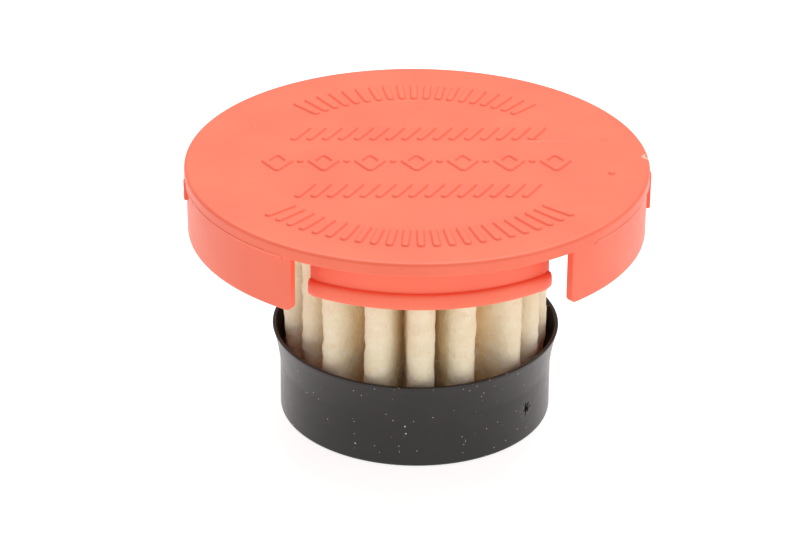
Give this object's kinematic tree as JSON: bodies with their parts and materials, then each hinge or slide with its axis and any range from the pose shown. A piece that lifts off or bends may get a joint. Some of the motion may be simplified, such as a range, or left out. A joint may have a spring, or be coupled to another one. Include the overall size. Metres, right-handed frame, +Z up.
{
  "type": "hydraulic filler breather",
  "caption": "Round snap-in breather cap with a pleated felt filter that stands in a shallow cup with a flared sealing lip.",
  "frame": {"origin": "centre of the end cup's underside, on the axis", "axes": "+Z up along the axis from the end cup to the cap, -Y towards one of the two snap tabs"},
  "size_m": [0.0624, 0.062, 0.0367],
  "materials": {
    "cap_plastic": "moulded, satin, coral red",
    "felt": "needled felt, cream",
    "cup_plastic": "moulded, satin, near black",
    "adhesive": "cured, dull amber"
  },
  "bodies": {
    "root": {"cap": "cap_plastic", "filter_pleats": "felt", "end_cup": "cup_plastic", "lower_potting": "adhesive", "upper_potting": "adhesive"}
  },
  "joints": []
}
